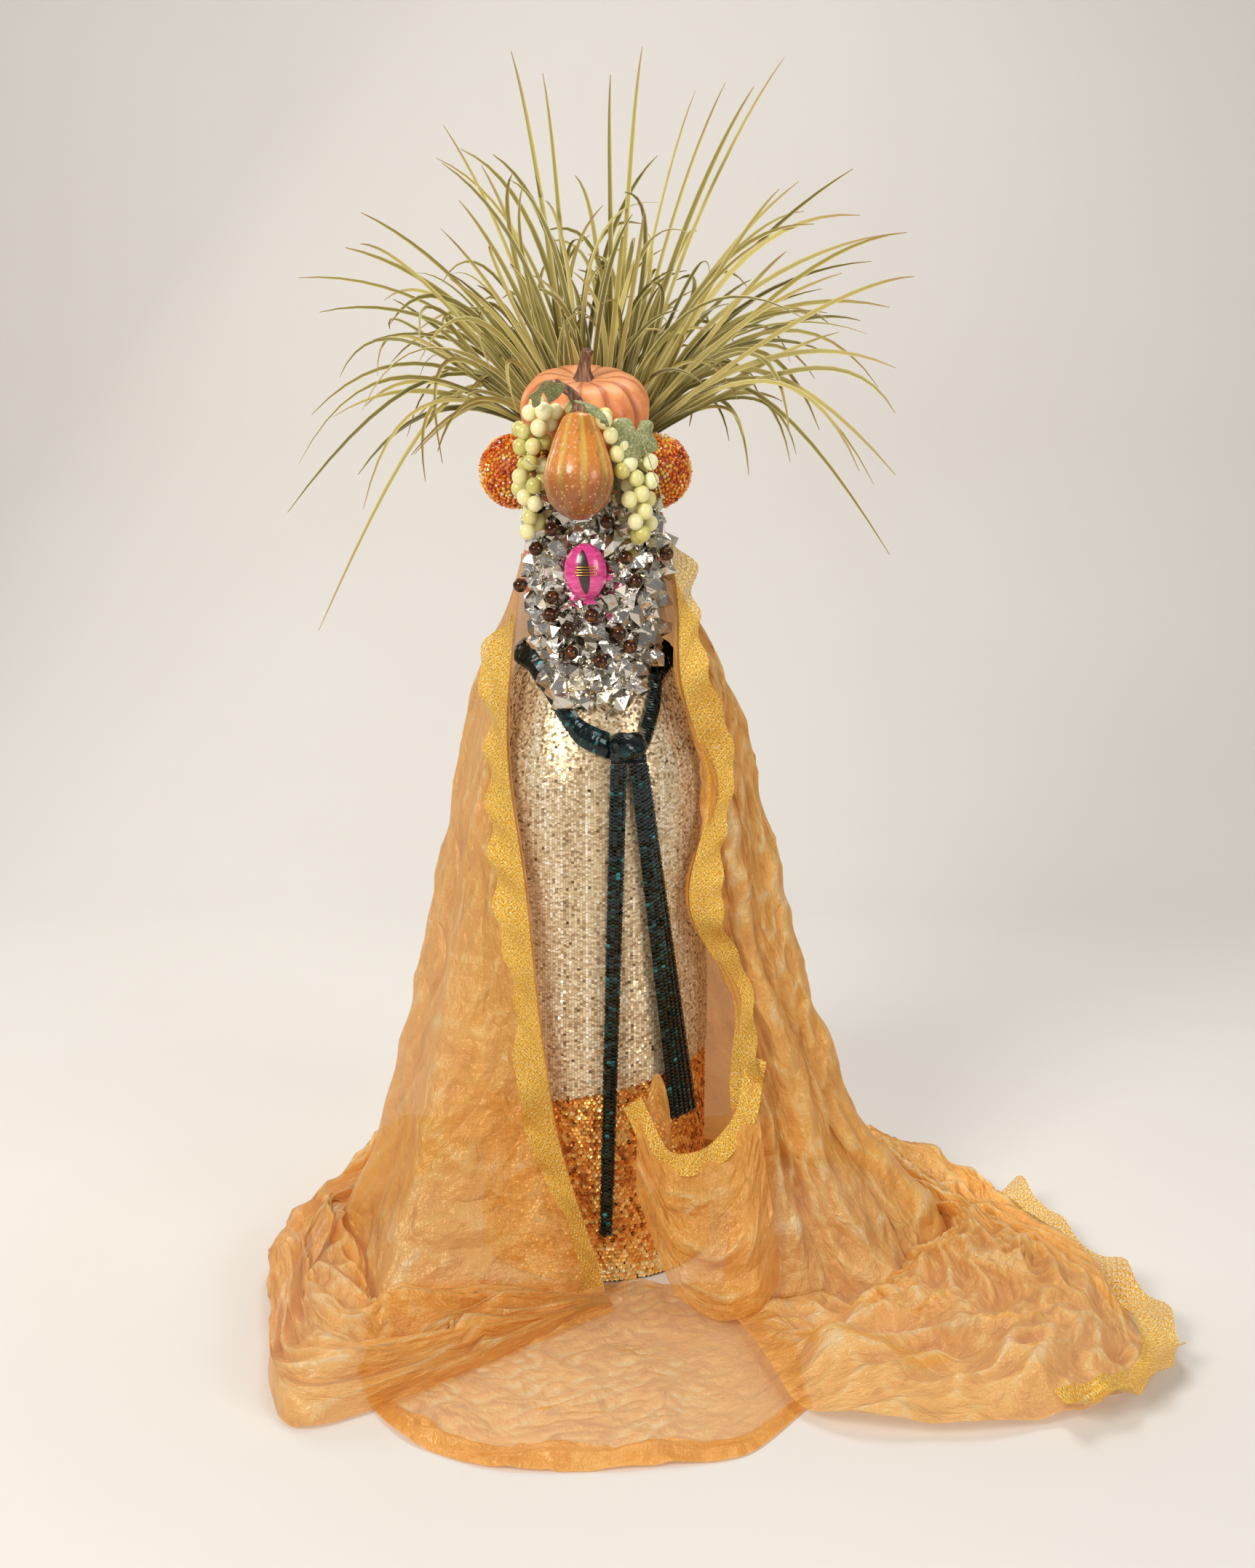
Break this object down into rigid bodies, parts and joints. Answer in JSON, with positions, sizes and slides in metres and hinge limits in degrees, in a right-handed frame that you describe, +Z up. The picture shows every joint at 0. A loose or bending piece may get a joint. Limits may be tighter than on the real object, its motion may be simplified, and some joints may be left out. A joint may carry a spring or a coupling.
{
  "type": "art doll",
  "caption": "Tall column figure in a sequinned gown and sheer floor-length cape, with a head of gourds, grapes, metal nuggets and grass hair.",
  "frame": {"origin": "centre of the base's underside, on the floor", "axes": "+Z up through the column, the face looks along -Y, +X to the side of the long train"},
  "size_m": [0.7937, 0.6649, 1.0836],
  "materials": {
    "wood": "plain sanded board",
    "card": "spiral-wound cardboard",
    "foam": "carved foam",
    "coral_paint": "coral gloss paint",
    "copper_sequins": "copper sequins on net",
    "champagne_sequins": "pale champagne sequins in upright rows",
    "foil_nuggets": "mirror-bright metallised facets",
    "amber_glass": "polished dark amber",
    "pink_enamel": "gloss",
    "dark_inlay": "satin",
    "gold_wire": "bright wire",
    "pumpkin_skin": "coral skin, satin",
    "gourd_skin": "orange-brown striped skin, satin",
    "stalk": "dry stalk",
    "grape_skin": "translucent pale green",
    "leaf_cloth": "pebbled sage cloth",
    "amber_beads": "orange and amber beads",
    "grass_blade": "olive blades with pale edges",
    "green_sequins": "dark green overlapping sequins",
    "organza": "sheer orange weave",
    "mesh_ribbon": "gold diamond mesh"
  },
  "bodies": {
    "doll": {"base_disc": "wood", "tube_plug": "wood", "body_tube": "card", "shoulder_block": "foam", "neck_dowel": "wood", "head_form": "coral_paint", "crown_block": "foam", "ear_rod": "wood", "ear_ball_left": "amber_beads", "ear_ball_right": "amber_beads", "pumpkin": "pumpkin_skin", "pumpkin_stem": "stalk", "gourd": "gourd_skin", "gourd_stem": "stalk", "grapes_left": "grape_skin", "grapes_right": "grape_skin", "leaf_right": "leaf_cloth", "leaf_middle": "leaf_cloth", "leaf_left": "leaf_cloth", "nugget_mask": "foil_nuggets", "amber_marble_01": "amber_glass", "amber_marble_02": "amber_glass", "amber_marble_03": "amber_glass", "amber_marble_04": "amber_glass", "amber_marble_05": "amber_glass", "amber_marble_06": "amber_glass", "amber_marble_07": "amber_glass", "amber_marble_08": "amber_glass", "amber_marble_09": "amber_glass", "amber_marble_10": "amber_glass", "amber_marble_11": "amber_glass", "amber_marble_12": "amber_glass", "amber_marble_13": "amber_glass", "amber_marble_14": "amber_glass", "amber_marble_15": "amber_glass", "mouth_oval": "pink_enamel", "mouth_slit": "dark_inlay", "mouth_wire": "gold_wire", "grass_left": "grass_blade", "grass_middle": "grass_blade", "grass_right": "grass_blade", "copper_skirt": "copper_sequins", "gown": "champagne_sequins", "sash_collar": "green_sequins", "sash_knot": "green_sequins", "cape_left": "organza", "cape_back": "organza", "cape_right": "organza", "train_front": "organza", "ribbon_left": "mesh_ribbon", "ribbon_right": "mesh_ribbon", "ribbon_train": "mesh_ribbon", "cape_swag": "organza"},
    "left_tail": {"sash_tail_left": "green_sequins"},
    "right_tail": {"sash_tail_right": "green_sequins"}
  },
  "joints": [
    {"name": "left_tail_swing", "type": "hinge", "parent": "doll", "child": "left_tail", "pos_m": [0.0234, -0.1043, 0.4848], "axis": [-1, 0, 0], "range_deg": [0, 45]},
    {"name": "right_tail_swing", "type": "hinge", "parent": "doll", "child": "right_tail", "pos_m": [0.0423, -0.0999, 0.4848], "axis": [-0.9613, -0.2756, 0], "range_deg": [0, 45]}
  ]
}
